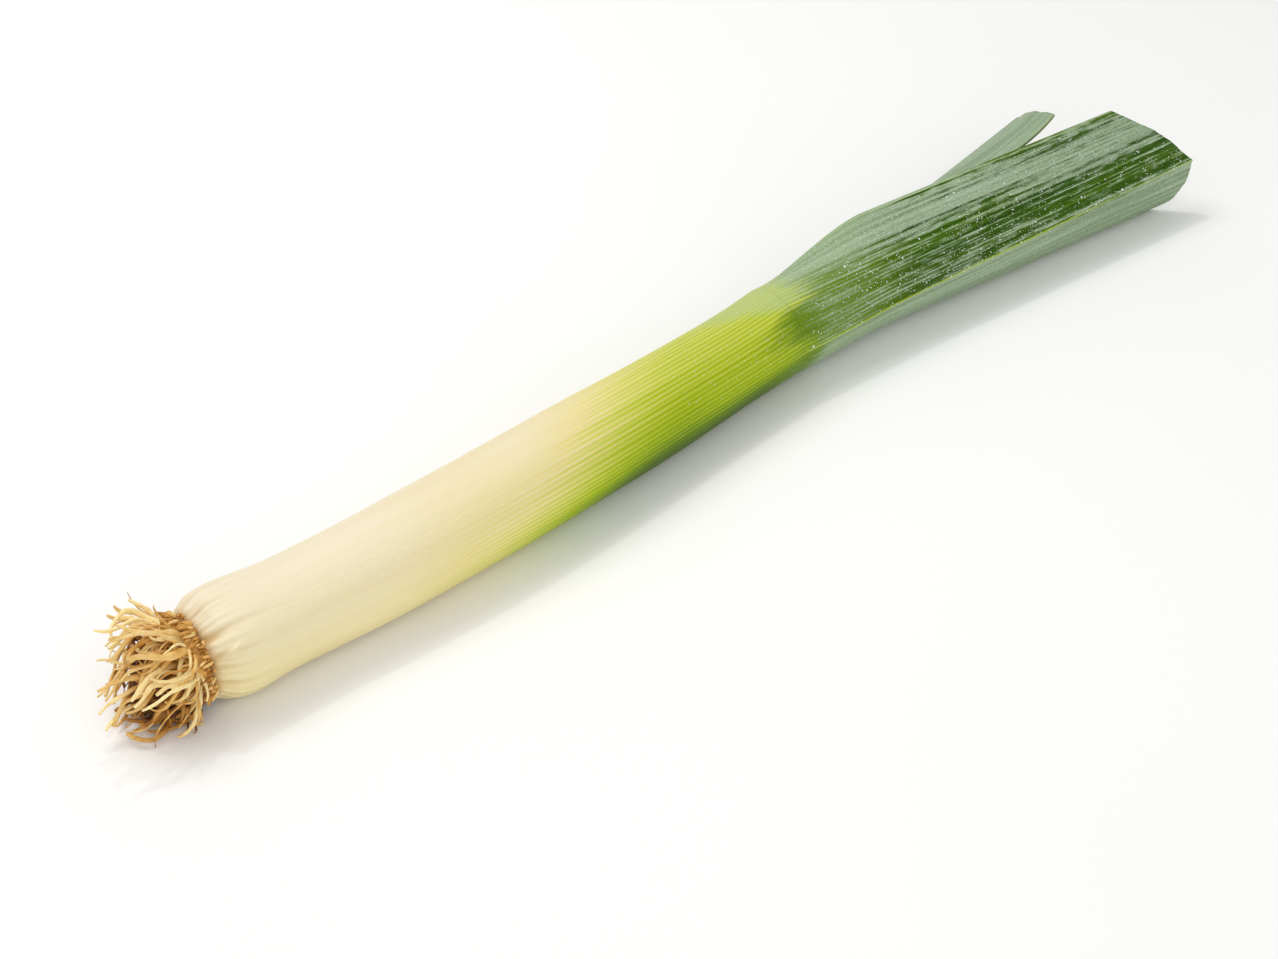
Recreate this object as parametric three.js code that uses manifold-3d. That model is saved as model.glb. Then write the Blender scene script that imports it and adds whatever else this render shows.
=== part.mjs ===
// A trimmed leek lying on a table: the root plate with its tuft of roots, the shaft of tightly wrapped
// leaf bases, and five keeled leaf blades that fan out flat, nested inside one another.
// Millimetres, +Z up. The shaft runs along +X from the root plate, and the near side is -Y.
import * as THREE from "three";
import { LoftGeometry } from "three/addons/geometries/LoftGeometry.js";
import { mergeVertices } from "three/addons/utils/BufferGeometryUtils.js";
import Module from "manifold-3d";

const wasm = await Module();
wasm.setup();

// Shaft: x is the distance from the ring where the roots begin.
const SHAFT_START = -2; // end face towards the root plate
const NECK = 250; // where the blades leave the shaft
const BULB = 14; // the widest place of the base, where the rounded shoulder ends
const RADIUS_PROFILE = [
  [-2, 11.6], [0, 14.5], [3, 16.3], [8, 17.3], [14, 17.5], [34, 16.9],
  [80, 17.5], [125, 17.9], [190, 16.9], [225, 16.5], [250, 16.8],
];
const FLAT_DEPTH = 0.35; // how much of the round underside is pressed flat on the table
const BEND_START = 60;
const BEND_REACH = 19.2; // sideways at the neck
const BEND_POWER = 1.5;
const SHAFT_SIDES = 32;
const SHOULDER_RINGS = [-2, -1, 0, 1.5, 4, 8, 14];
const RING_STEP = 14.75;

// Blades: outer ones start flush with the shaft, and each next one on the same side lies inside.
const BLADE_GAP = 0.3; // between the shaft's end face and a blade
const LAYER_STEP = 2;
const KEEL_THICKNESS = 1.5;
const EDGE_THICKNESS = 0.9;
const FAN_START = 302; // from here on a blade is a folded V and no longer part of a tube
const FAN_TIP = 440;
const FAN_LEAD = 0.2;
const NEAR = -1;
const FAR = 1;

// Roots.
const PLATE_RADIUS = 12.8;
const PLATE_START = -2.3;
const PLATE_DEPTH = 6;
const PLATE_SIDES = 14;
const ROOT_COUNT = 92;
const ROOT_SIDES = 3;
const ROOT_STEPS = 14; // points worked out along a root
const ROOT_SKIP = 2; // every second one is used here
const ROOT_RADIUS = [0.85, 1.25];
const ROOT_LENGTH = [14, 31];
const ROOT_LEAN = 0.3; // the tuft leans to the far side, and hangs
const ROOT_SAG = 0.2;
const ROOT_SPLAY = [0.12, 1.3]; // radians off the leek's axis, in the middle and at the rim
const ROOT_DROOP = [0.014, 0.042]; // radians of turn for each millimetre
const ROOT_CURL = [0.03, 0.12];
const ROOT_TWIST = [0.12, 0.42];
const ROOT_BACK = 0.012; // pull away from the shaft
const ROOT_GATHER = 0.006; // pull back towards the axis, for each millimetre away from it
const ROOT_CLEARANCE = 0.5; // above the table
const ROOT_FRONT = -4.2; // roots stay behind this plane, clear of the shaft
const GOLDEN_ANGLE = Math.PI * (3 - Math.sqrt(5));
const ROOT_SEED = 20611;

const COLOURS = {
  roots: "#c99a55",
  shaft: "#ead9b0",
  outerLeaf: "#47702f",
  innerLeaf: "#6f9a3c",
  heartLeaf: "#9dbb52",
};

const mix = (a, b, t) => a + (b - a) * t;
const clamp01 = (t) => Math.min(1, Math.max(0, t));
const smooth = (t) => clamp01(t) ** 2 * (3 - 2 * clamp01(t));

// The value at x of a smooth curve through a few [x, value] points.
function through(points, x) {
  const last = points.length - 1;
  if (x <= points[0][0]) return points[0][1];
  if (x >= points[last][0]) return points[last][1];
  let i = 0;
  while (x > points[i + 1][0]) i += 1;
  const slope = (k) => {
    const a = points[Math.max(k - 1, 0)];
    const b = points[Math.min(k + 1, last)];
    return (b[1] - a[1]) / (b[0] - a[0]);
  };
  const h = points[i + 1][0] - points[i][0];
  const t = (x - points[i][0]) / h;
  return (
    points[i][1] * (1 + 2 * t) * (1 - t) ** 2 +
    slope(i) * h * t * (1 - t) ** 2 +
    points[i + 1][1] * t * t * (3 - 2 * t) +
    slope(i + 1) * h * t * t * (t - 1)
  );
}

const shaftRadius = (x) => through(RADIUS_PROFILE, x);
const axisHeight = (x) => shaftRadius(Math.max(x, BULB)) - FLAT_DEPTH;
const axisSide = (x) =>
  BEND_REACH * Math.max(0, (x - BEND_START) / (NECK - BEND_START)) ** BEND_POWER;

// A point at a distance from the shaft's axis. Angle 0 is the near side and a quarter turn is up.
function round(x, radius, angle) {
  return new THREE.Vector3(
    x,
    axisSide(x) - radius * Math.cos(angle),
    Math.max(0, axisHeight(x) + radius * Math.sin(angle)),
  );
}

function ring(x, radius, sides) {
  const points = [];
  for (let j = 0; j < sides; j += 1) points.push(round(x, radius, (-2 * Math.PI * j) / sides));
  return points;
}

function shaftGeometry() {
  const stations = [...SHOULDER_RINGS];
  for (let x = BULB + RING_STEP; x < NECK + 1; x += RING_STEP) stations.push(x);
  const sections = stations.map((x) => ring(x, shaftRadius(x), SHAFT_SIDES));
  return new LoftGeometry(sections, { capStart: true, capEnd: true });
}

// The five blades. mid and tip give the section of the folded V at FAN_START and at FAN_TIP: where its
// keel and its two edges are in [y, z], and how far each half bulges. end says where each is cut off,
// and a slant under 1 cuts the bottom half back more steeply beside the keel. A lateness over 1 keeps
// the top edge close to the middle until near the tip.
const BLADES = [
  {
    name: "leaf_outer_near",
    side: NEAR,
    layer: 0,
    span: { top: 150, bottom: 112 },
    colour: COLOURS.outerLeaf,
    rows: 15,
    columns: 12,
    mid: { keel: [2.6, 18.6], top: [28.5, 42.5], bottom: [31, 1.2], topBulge: 5, bottomBulge: 8.5 },
    tip: { keel: [-0.5, 21.5], top: [24.6, 40.6], bottom: [25, 0.8], topBulge: 2, bottomBulge: 11.5 },
    end: { keel: 456, top: 434, bottom: 431, slant: 1.3 },
    lateness: 1,
    wave: 0.5,
  },
  {
    name: "leaf_outer_far",
    side: FAR,
    layer: 1,
    span: { top: 95, bottom: 95 },
    colour: COLOURS.outerLeaf,
    rows: 15,
    columns: 12,
    mid: { keel: [40, 17.6], top: [27.5, 35.5], bottom: [31, 4.5], topBulge: 3.5, bottomBulge: 3 },
    tip: { keel: [73, 19], top: [52.6, 34.2], bottom: [53, -3], topBulge: 1.5, bottomBulge: 2.5 },
    end: { keel: 432, top: 424, bottom: 372, slant: 0.3 },
    lateness: 3.2,
    wave: 0.4,
  },
  {
    name: "leaf_inner_near",
    side: NEAR,
    layer: 1,
    span: { top: 76, bottom: 74 },
    colour: COLOURS.innerLeaf,
    rows: 12,
    columns: 10,
    mid: { keel: [5.9, 18.8], top: [24.5, 35.5], bottom: [24.5, 7], topBulge: 3.5, bottomBulge: 6 },
    tip: { keel: [3.2, 21.4], top: [21.5, 35.2], bottom: [19, 7], topBulge: 2, bottomBulge: 7 },
    end: { keel: 446, top: 426, bottom: 424, slant: 1 },
    lateness: 1,
    wave: 0.3,
  },
  {
    name: "leaf_inner_far",
    side: FAR,
    layer: 2,
    span: { top: 75, bottom: 70 },
    colour: COLOURS.innerLeaf,
    rows: 12,
    columns: 10,
    mid: { keel: [36, 18.3], top: [27, 30.5], bottom: [28.5, 8.5], topBulge: 2, bottomBulge: 2 },
    tip: { keel: [52, 19.5], top: [34, 32], bottom: [35, 9], topBulge: 2, bottomBulge: 2 },
    end: { keel: 416, top: 402, bottom: 396, slant: 0.7 },
    lateness: 1,
    wave: 0.3,
  },
  {
    name: "leaf_heart",
    side: NEAR,
    layer: 2,
    span: { top: 80, bottom: 80 },
    colour: COLOURS.heartLeaf,
    rows: 12,
    columns: 10,
    mid: { keel: [9.6, 18.5], top: [25.5, 25], bottom: [25.5, 12.5], topBulge: 2.5, bottomBulge: 2.5 },
    tip: { keel: [10, 20.5], top: [30, 25], bottom: [30, 14], topBulge: 1.5, bottomBulge: 1.5 },
    end: { keel: 432, top: 418, bottom: 416, slant: 1 },
    lateness: 1,
    wave: 0.2,
  },
];

const WAVE_LENGTH = 68;

// A point of one half of a folded blade's section: from the keel, at 0, to the edge, at 1.
function foldedPoint(keel, edge, bulge, share, away) {
  const dy = edge[0] - keel[0];
  const dz = edge[1] - keel[1];
  const long = Math.hypot(dy, dz);
  const lift = 4 * bulge * share * (1 - share) * away;
  return [keel[0] + dy * share - (lift * dz) / long, keel[1] + dz * share + (lift * dy) / long];
}

// How far along the fan a section is. Before FAN_START it slows down and never passes -FAN_LEAD.
function fanShare(x) {
  const t = (x - FAN_START) / (FAN_TIP - FAN_START);
  return t < 0 ? FAN_LEAD * (Math.exp(t / FAN_LEAD) - 1) : t;
}

// The section of the folded blade at x, at u from -1, the bottom edge, to 1, the top edge.
function foldedSection(blade, x, u) {
  const t = fanShare(x);
  const half = u < 0 ? "bottom" : "top";
  const blend = (key, axis) => mix(blade.mid[key][axis], blade.tip[key][axis], t);
  const keel = [blend("keel", 0), blend("keel", 1)];
  const opened = t > 0 && u > 0 ? t ** blade.lateness : t;
  const edge = [0, 1].map((axis) => mix(blade.mid[half][axis], blade.tip[half][axis], opened));
  const bulge = Math.max(0, mix(blade.mid[half + "Bulge"], blade.tip[half + "Bulge"], t));
  const ripple = blade.wave * Math.sin((2 * Math.PI * x) / WAVE_LENGTH + blade.layer + u) * u * u;
  const away = (u < 0 ? 1 : -1) * blade.side;
  return foldedPoint(keel, edge, bulge + ripple, Math.abs(u), away);
}

// The outer face of a blade: a tube round the shaft's axis at the neck, opening into the folded V.
function bladePoint(blade, x, u) {
  const radius = shaftRadius(NECK) - LAYER_STEP * blade.layer;
  const span = u < 0 ? blade.span.bottom : blade.span.top;
  const turn = THREE.MathUtils.degToRad(span) * u;
  const angle = blade.side === NEAR ? turn : Math.PI - turn;
  const tube = round(NECK, radius, angle);
  const [y, z] = foldedSection(blade, x, u);
  const open = smooth((x - NECK) / (FAN_START - NECK));
  return new THREE.Vector3(x, mix(tube.y, y, open), Math.max(0, mix(tube.z, z, open)));
}

function cutOff(blade, u) {
  const edge = u < 0 ? blade.end.bottom : blade.end.top;
  const slant = u < 0 ? blade.end.slant : 1;
  return mix(blade.end.keel, edge, Math.abs(u) ** slant);
}

// Both faces of a blade as rows of points, from its root to where it is cut.
function bladeFaces(blade) {
  const outer = [];
  const inner = [];
  for (let i = 0; i <= blade.rows; i += 1) {
    const along = i / blade.rows;
    const row = [];
    for (let j = 0; j <= blade.columns; j += 1) {
      const u = ((2 * j) / blade.columns - 1) * -blade.side;
      row.push(bladePoint(blade, mix(NECK + BLADE_GAP, cutOff(blade, u), along), u));
    }
    outer.push(row);
    inner.push(
      row.map((point, j) => {
        const across = row[Math.min(j + 1, blade.columns)].clone().sub(row[Math.max(j - 1, 0)]);
        const inward = new THREE.Vector3(0, across.z, -across.y).normalize();
        const u = Math.abs((2 * j) / blade.columns - 1);
        return point.clone().addScaledVector(inward, mix(KEEL_THICKNESS, EDGE_THICKNESS, u));
      }),
    );
  }
  return { outer, inner };
}

// A closed sheet between two grids of points, split into triangles alike on both faces.
function sheetGeometry({ outer, inner }) {
  const rows = outer.length;
  const columns = outer[0].length;
  const positions = [...outer.flat(), ...inner.flat()].flatMap((point) => point.toArray());
  const o = (i, j) => i * columns + j;
  const n = (i, j) => rows * columns + i * columns + j;
  const index = [];
  const quad = (a, b, c, d) => index.push(a, b, c, a, c, d);
  for (let i = 0; i < rows - 1; i += 1) {
    for (let j = 0; j < columns - 1; j += 1) {
      quad(o(i, j), o(i + 1, j), o(i + 1, j + 1), o(i, j + 1));
      index.push(n(i, j), n(i + 1, j + 1), n(i + 1, j), n(i, j), n(i, j + 1), n(i + 1, j + 1));
    }
    quad(o(i, 0), n(i, 0), n(i + 1, 0), o(i + 1, 0));
    quad(o(i, columns - 1), o(i + 1, columns - 1), n(i + 1, columns - 1), n(i, columns - 1));
  }
  for (let j = 0; j < columns - 1; j += 1) {
    quad(o(0, j), o(0, j + 1), n(0, j + 1), n(0, j));
    quad(o(rows - 1, j), n(rows - 1, j), n(rows - 1, j + 1), o(rows - 1, j + 1));
  }
  const geometry = new THREE.BufferGeometry();
  geometry.setAttribute("position", new THREE.Float32BufferAttribute(positions, 3));
  geometry.setIndex(index);
  geometry.computeVertexNormals();
  return geometry;
}

// Numbers from 0 to 1 that are the same on every run.
function seededRandom(seed) {
  let state = seed;
  return () => {
    state = (state * 1664525 + 1013904223) % 4294967296;
    return state / 4294967296;
  };
}

// One root: it leaves the plate outwards, droops, curls a little, and lies along the table.
function rootPath(index, count, random) {
  const share = (index + 0.5) / count;
  const around = index * GOLDEN_ANGLE + 0.5 * (random() - 0.5);
  const reach = PLATE_RADIUS * 0.86 * Math.sqrt(share);
  const splay = mix(ROOT_SPLAY[0], ROOT_SPLAY[1], share) + 0.6 * (random() - 0.5);
  const length = mix(ROOT_LENGTH[0], ROOT_LENGTH[1], random());
  const radius = mix(ROOT_RADIUS[0], ROOT_RADIUS[1], random());
  const droop = mix(ROOT_DROOP[0], ROOT_DROOP[1], random());
  const curl = mix(ROOT_CURL[0], ROOT_CURL[1], random());
  const phase = 2 * Math.PI * random();
  const twist = mix(ROOT_TWIST[0], ROOT_TWIST[1], random());
  const position = new THREE.Vector3(
    PLATE_START - PLATE_DEPTH * 0.5,
    -reach * Math.cos(around),
    axisHeight(0) + reach * Math.sin(around),
  );
  const heading = new THREE.Vector3(
    -Math.cos(splay),
    ROOT_LEAN - Math.sin(splay) * Math.cos(around),
    Math.sin(splay) * Math.sin(around) - ROOT_SAG,
  ).normalize();
  const points = [position.clone()];
  const step = length / ROOT_STEPS;
  for (let k = 0; k < ROOT_STEPS; k += 1) {
    const swing = phase + twist * k * step;
    heading.x -= ROOT_BACK * step;
    heading.y += (curl * Math.cos(swing) - ROOT_GATHER * position.y) * step;
    heading.z += (curl * Math.sin(swing) - droop) * step;
    heading.normalize();
    position.addScaledVector(heading, step);
    position.x = Math.min(position.x, ROOT_FRONT);
    const lowest = radius + ROOT_CLEARANCE;
    if (position.z < lowest) {
      position.z = lowest;
      heading.z = Math.max(0, heading.z);
    }
    points.push(position.clone());
  }
  return { points, radius };
}

function rootGeometry({ points, radius }) {
  const used = points.filter((_, k) => k % ROOT_SKIP === 0);
  const sections = used.map((point, k) => {
    const ahead = used[Math.min(k + 1, used.length - 1)].clone().sub(used[Math.max(k - 1, 0)]);
    const sideways = new THREE.Vector3(0, 0, 1).cross(ahead);
    if (sideways.length() < 0.2 * ahead.length()) sideways.set(0, 1, 0).cross(ahead);
    sideways.normalize();
    const up = ahead.clone().cross(sideways).normalize();
    const thin = radius * mix(1.15, 0.45, (k / (used.length - 1)) ** 2);
    const corners = [];
    for (let j = 0; j < ROOT_SIDES; j += 1) {
      const angle = (2 * Math.PI * j) / ROOT_SIDES;
      const corner = point.clone().addScaledVector(sideways, thin * Math.cos(angle));
      corners.push(corner.addScaledVector(up, thin * Math.sin(angle)));
    }
    return corners;
  });
  return new LoftGeometry(sections, { capStart: true, capEnd: true });
}

function plateGeometry() {
  const sections = [];
  for (const [depth, share] of [[0, 0.9], [0.2, 1], [0.55, 0.9], [0.85, 0.6], [1, 0.2]]) {
    sections.push(ring(PLATE_START - PLATE_DEPTH * depth, PLATE_RADIUS * share, PLATE_SIDES));
  }
  return new LoftGeometry(sections.reverse(), { capStart: true, capEnd: true });
}

function solidOf(geometry) {
  const bare = new THREE.BufferGeometry();
  bare.setAttribute("position", geometry.getAttribute("position"));
  bare.setIndex(geometry.getIndex());
  const merged = mergeVertices(bare, 1e-4);
  return new wasm.Manifold(
    new wasm.Mesh({
      numProp: 3,
      vertProperties: merged.getAttribute("position").array,
      triVerts: new Uint32Array(merged.getIndex().array),
    }),
  );
}

function geometryOf(solid) {
  const mesh = solid.getMesh();
  const geometry = new THREE.BufferGeometry();
  geometry.setAttribute("position", new THREE.Float32BufferAttribute(mesh.vertProperties, 3));
  geometry.setIndex([...mesh.triVerts]);
  geometry.computeVertexNormals();
  return geometry;
}

// The root plate and every root, joined into one body. Tiny hollows that the roots close off between
// them have a skin of their own, which is left out so that they are filled.
function rootsGeometry() {
  const random = seededRandom(ROOT_SEED);
  let joined = solidOf(plateGeometry());
  for (let i = 0; i < ROOT_COUNT; i += 1) {
    joined = joined.add(solidOf(rootGeometry(rootPath(i, ROOT_COUNT, random))));
  }
  const skins = joined.decompose();
  skins.sort((a, b) => b.volume() - a.volume());
  return geometryOf(skins[0]);
}

function addPiece(group, name, geometry, colour, roughness) {
  const material = new THREE.MeshStandardMaterial({ color: colour, roughness, metalness: 0 });
  const mesh = new THREE.Mesh(geometry, material);
  mesh.name = name;
  group.add(mesh);
}

const leek = new THREE.Group();
const plant = new THREE.Group();
addPiece(plant, "roots", rootsGeometry(), COLOURS.roots, 0.8);
addPiece(plant, "shaft", shaftGeometry(), COLOURS.shaft, 0.4);
for (const blade of BLADES) {
  addPiece(plant, blade.name, sheetGeometry(bladeFaces(blade)), blade.colour, 0.5);
}

// The origin is at the middle of the footprint, on the table.
const bounds = new THREE.Box3().setFromObject(plant);
const middle = bounds.getCenter(new THREE.Vector3());
plant.position.set(-middle.x, -middle.y, -bounds.min.z);
leek.add(plant);

export default leek;
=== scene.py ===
"""The looks of a trimmed leek: wrinkled shaft, folded and streaked blades, tangled roots, water drops.

Shapes are worked out in millimetres in the plant's own frame, where x is the distance from the ring
that the roots grow from, the near side is -y and z = 0 is the table. place() moves them into the frame.
"""

import math

import bpy
import numpy as np
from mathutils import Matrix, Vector


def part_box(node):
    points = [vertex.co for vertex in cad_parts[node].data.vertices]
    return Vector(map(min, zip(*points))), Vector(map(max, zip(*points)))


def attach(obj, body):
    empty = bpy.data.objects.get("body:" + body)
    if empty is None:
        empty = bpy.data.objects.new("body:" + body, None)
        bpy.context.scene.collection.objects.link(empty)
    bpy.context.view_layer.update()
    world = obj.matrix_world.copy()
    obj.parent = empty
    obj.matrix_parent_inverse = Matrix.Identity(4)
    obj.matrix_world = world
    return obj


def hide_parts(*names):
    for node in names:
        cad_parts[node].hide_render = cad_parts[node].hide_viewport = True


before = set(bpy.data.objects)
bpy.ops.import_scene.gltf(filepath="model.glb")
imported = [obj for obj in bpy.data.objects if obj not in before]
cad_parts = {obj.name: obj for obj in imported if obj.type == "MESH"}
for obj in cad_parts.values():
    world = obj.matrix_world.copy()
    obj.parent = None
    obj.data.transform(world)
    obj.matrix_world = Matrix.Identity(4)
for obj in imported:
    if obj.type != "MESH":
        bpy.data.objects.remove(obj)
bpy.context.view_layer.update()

# Shaft
SHAFT_START = -2.0
NECK = 250.0
BULB = 14.0
RADIUS_PROFILE = (
    (-2, 11.6), (0, 14.5), (3, 16.3), (8, 17.3), (14, 17.5), (34, 16.9),
    (80, 17.5), (125, 17.9), (190, 16.9), (225, 16.5), (250, 16.8),
)
FLAT_DEPTH = 0.35
BEND_START = 60.0
BEND_REACH = 19.2
BEND_POWER = 1.5
SHAFT_COLUMNS = 330
SHAFT_RIBS = 66
SHAFT_FINE_STEP = 0.5
SHAFT_FINE_END = 22.0
SHAFT_STEP = 2.4
NECK_RADIUS = 16.8
FOLD_DEPTH = 0.6
FOLD_REACH = 9.0
BUMP_HEIGHT = 2.4
RIB_HEIGHT = 0.07
RIB_PERIOD = 2 * math.pi * NECK_RADIUS / SHAFT_RIBS
# By angle in degrees: how deep the green gets, and where along the shaft it starts.
GREEN_DEPTH = (
    (-180, -90, -47, -20, -5, 10, 45, 85, 120),
    (0.35, 0.6, 0.76, 0.66, 0.54, 0.42, 0.37, 0.38, 0.36),
)
GREEN_START = ((-180, -90, -40, -5, 10, 45, 85, 120), (128, 100, 90, 97, 101, 111, 118, 122))
GREEN_REACH = 86
LEAF_START = 218
LEAF_REACH = 48
BLOOM_START = 203
BLOOM_REACH = 34
KEEL_LINE_START = 234
KEEL_LINE_REACH = 22
# How far the end of the skin is lowered where no blade covers it.
RIM_DEPTH = 0.55

# Blades
BLADE_GAP = 0.1
LAYER_STEP = 2.0
KEEL_THICKNESS = 1.5
EDGE_THICKNESS = 0.9
FAN_START = 302.0
FAN_TIP = 440.0
FAN_LEAD = 0.2
WAVE_LENGTH = 68.0
NEAR = -1
FAR = 1
# Wax on the upper half of the outermost blade, from its keel, 0, to its top edge, 1.
NECK_WAX = ((0, 0.3, 0.5, 0.7, 0.85, 1), (0.43, 0.42, 0.4, 0.78, 1.1, 1.15))
MIDDLE_WAX = (
    (0, 0.15, 0.3, 0.45, 0.55, 0.66, 0.8, 0.9, 1),
    (0.46, 0.44, 0.38, 0.26, 0.4, 0.68, 0.74, 0.5, 0.44),
)
TIP_WAX = ((0, 0.1, 0.25, 0.4, 0.52, 0.8, 0.9, 1), (0.46, 0.3, 0.3, 0.5, 0.68, 0.72, 0.5, 0.44))
KEEL_CROWDING = 1.5
KEEL_LINE = 0.38
# How far to both sides of a point, in u, a blade's inward direction is taken from.
NORMAL_REACH = 0.1
MIDRIB_HEIGHT = 0.4
MIDRIB_WIDTH = 0.8
SHARP_ANGLE = math.radians(50)
# The inner face's place across the flow is moved this far, so its noise differs from the outer face's.
INNER_FACE_SHIFT = 300

# layer counts inwards. span is how many degrees of the shaft's round each half covers at the neck.
# mid and tip hold y and z of the keel and the edges at FAN_START and FAN_TIP, and how far the top and
# bottom halves bulge. end is the x of the cut at the keel and the edges, and how the lower half slants.
# lateness is how late the top edge goes from mid to tip, and wave the height of the ripples. bloom is
# the wax on the top and bottom halves, which the outermost blade takes from outer_bloom() instead.
BLADES = (
    {
        "name": "leaf_outer_near",
        "slot": "outer_leaf",
        "side": NEAR,
        "layer": 0,
        "span": {"top": 150, "bottom": 112},
        "mid": {"keel": (2.6, 18.6), "top": (28.5, 42.5), "bottom": (31, 1.2), "bulge": (5, 8.5)},
        "tip": {"keel": (-0.5, 21.5), "top": (24.6, 40.6), "bottom": (25, 0.8), "bulge": (2, 11.5)},
        "end": {"keel": 456, "top": 434, "bottom": 431, "slant": 1.3},
        "lateness": 1.0,
        "wave": 0.5,
        "grid": (150, 150),
    },
    {
        "name": "leaf_outer_far",
        "slot": "outer_leaf",
        "side": FAR,
        "layer": 1,
        "span": {"top": 95, "bottom": 95},
        "mid": {"keel": (40, 17.6), "top": (27.5, 35.5), "bottom": (31, 4.5), "bulge": (3.5, 3)},
        "tip": {"keel": (73, 19), "top": (52.6, 34.2), "bottom": (53, -3), "bulge": (1.5, 2.5)},
        "end": {"keel": 432, "top": 424, "bottom": 372, "slant": 0.3},
        "lateness": 3.2,
        "wave": 0.4,
        "grid": (120, 110),
        "bloom": (1.1, 0.9),
    },
    {
        "name": "leaf_inner_near",
        "slot": "inner_leaf",
        "side": NEAR,
        "layer": 1,
        "span": {"top": 76, "bottom": 74},
        "mid": {"keel": (5.9, 18.8), "top": (24.5, 35.5), "bottom": (24.5, 7), "bulge": (3.5, 6)},
        "tip": {"keel": (3.2, 21.4), "top": (21.5, 35.2), "bottom": (19, 7), "bulge": (2, 7)},
        "end": {"keel": 446, "top": 426, "bottom": 424, "slant": 1.0},
        "lateness": 1.0,
        "wave": 0.3,
        "grid": (100, 90),
        "bloom": (0.6, 0.6),
    },
    {
        "name": "leaf_inner_far",
        "slot": "inner_leaf",
        "side": FAR,
        "layer": 2,
        "span": {"top": 75, "bottom": 70},
        "mid": {"keel": (36, 18.3), "top": (27, 30.5), "bottom": (28.5, 8.5), "bulge": (2, 2)},
        "tip": {"keel": (52, 19.5), "top": (34, 32), "bottom": (35, 9), "bulge": (2, 2)},
        "end": {"keel": 416, "top": 402, "bottom": 396, "slant": 0.7},
        "lateness": 1.0,
        "wave": 0.3,
        "grid": (100, 90),
        "bloom": (0.6, 0.6),
    },
    {
        "name": "leaf_heart",
        "slot": "heart_leaf",
        "side": NEAR,
        "layer": 2,
        "span": {"top": 80, "bottom": 80},
        "mid": {"keel": (9.6, 18.5), "top": (25.5, 25), "bottom": (25.5, 12.5), "bulge": (2.5, 2.5)},
        "tip": {"keel": (10, 20.5), "top": (30, 25), "bottom": (30, 14), "bulge": (1.5, 1.5)},
        "end": {"keel": 432, "top": 418, "bottom": 416, "slant": 1.0},
        "lateness": 1.0,
        "wave": 0.2,
        "grid": (100, 80),
        "bloom": (0.3, 0.3),
    },
)

# Roots
PLATE_RADIUS = 12.8
PLATE_START = -2.3
PLATE_DEPTH = 6.0
ROOT_COUNT = 92
# The share of the plate's radius that roots grow on.
ROOT_ZONE = 0.86
ROOT_STEPS = 14
ROOT_RADIUS = (0.85, 1.25)
ROOT_LENGTH = (14, 31)
ROOT_LEAN = 0.3
ROOT_SAG = 0.2
ROOT_SPLAY = (0.12, 1.3)
ROOT_DROOP = (0.014, 0.042)
ROOT_CURL = (0.03, 0.12)
ROOT_TWIST = (0.12, 0.42)
ROOT_BACK = 0.012
ROOT_GATHER = 0.006
ROOT_CLEARANCE = 0.5
ROOT_FRONT = -4.2
GOLDEN_ANGLE = math.pi * (3 - math.sqrt(5))
ROOT_SEED = 20611
FINE_ROOT_COUNT = 200
FINE_ROOT_SEED = 4177
ROOT_SIDES = 8
FINE_ROOT_SIDES = 5
PLATE_SIDES = 40
# The plate's rings from front to back: share of its depth, and share of its radius.
PLATE_RINGS = ((0, 0.93), (0.12, 1.0), (0.35, 0.98), (0.6, 0.86), (0.85, 0.6), (1.0, 0.25))
NUB_COUNT = 340
NUB_SIDES = 6
NUB_RING = (10.6, 14.5)
NUB_LENGTH = (0.6, 3.4)
NUB_RADIUS = (0.26, 0.62)
TUFT_CORE = np.array((-9.0, 4.0, 11.0))

# Water drops
DROP_SEED = 991
DROP_RINGS = 5
DROP_SIDES = 8
DROP_FLATNESS = 0.55
BLADE_DROPS = 1250
BLADE_DROP_SIZE = (0.12, 0.26)
SHAFT_DROP_SIZE = (0.1, 0.2)
# Two stretches of the shaft: where each starts and ends, and how many drops it holds.
SHAFT_DROPS = ((5, 110, 120), (190, 249, 160))

# The photographed view, in the plant's frame
VIEW_TARGET = Vector((157.0, -17.5, 16.5))
VIEW_DISTANCE = 780.0
VIEW_TURN = math.radians(40.0)
VIEW_RISE = math.radians(36.5)
FOCAL_PIXELS = 2385.0
PHOTO_WIDTH = 1278.0
SENSOR_WIDTH = 36.0

# The studio, in metres and watts. Each light has a place, a size, a strength and a colour.
FLOOR_HALF = 3.0
FLOOR_DROP = 0.0002
SKY_STRENGTH = 0.56
LIGHTS = {
    "key": ((-0.35, 0.55, 1.15), 0.7, 6.5, (1.0, 0.985, 0.96)),
    "fill": ((-0.5, -1.2, 0.8), 1.4, 7.0, (1.0, 1.0, 1.0)),
    "sparkle": ((0.15, 0.5, 1.1), 0.08, 1.6, (1.0, 1.0, 1.0)),
}

# The CAD shaft's lowest corner says where the plant's frame lies in the row's frame.
shaft_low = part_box("shaft")[0]
WIDEST = max(radius for x, radius in RADIUS_PROFILE if x < BEND_START)
OFFSET = np.array((shaft_low.x * 1000 - SHAFT_START, shaft_low.y * 1000 + WIDEST, 0.0))


def place(points):
    """Plant millimetres to metres in the row's frame."""
    return (np.asarray(points, dtype=float) + OFFSET) / 1000


def mix(a, b, t):
    return a + (b - a) * t


def smooth(t):
    t = np.clip(t, 0, 1)
    return t * t * (3 - 2 * t)


def bell(t):
    return np.exp(-(t ** 2))


def srgb(red, green, blue):
    """A colour given as 0 to 255 screen values, as a linear colour with alpha."""
    linear = [((c / 255 + 0.055) / 1.055) ** 2.4 if c > 10 else c / 255 / 12.92 for c in (red, green, blue)]
    return (*linear, 1.0)


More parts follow.
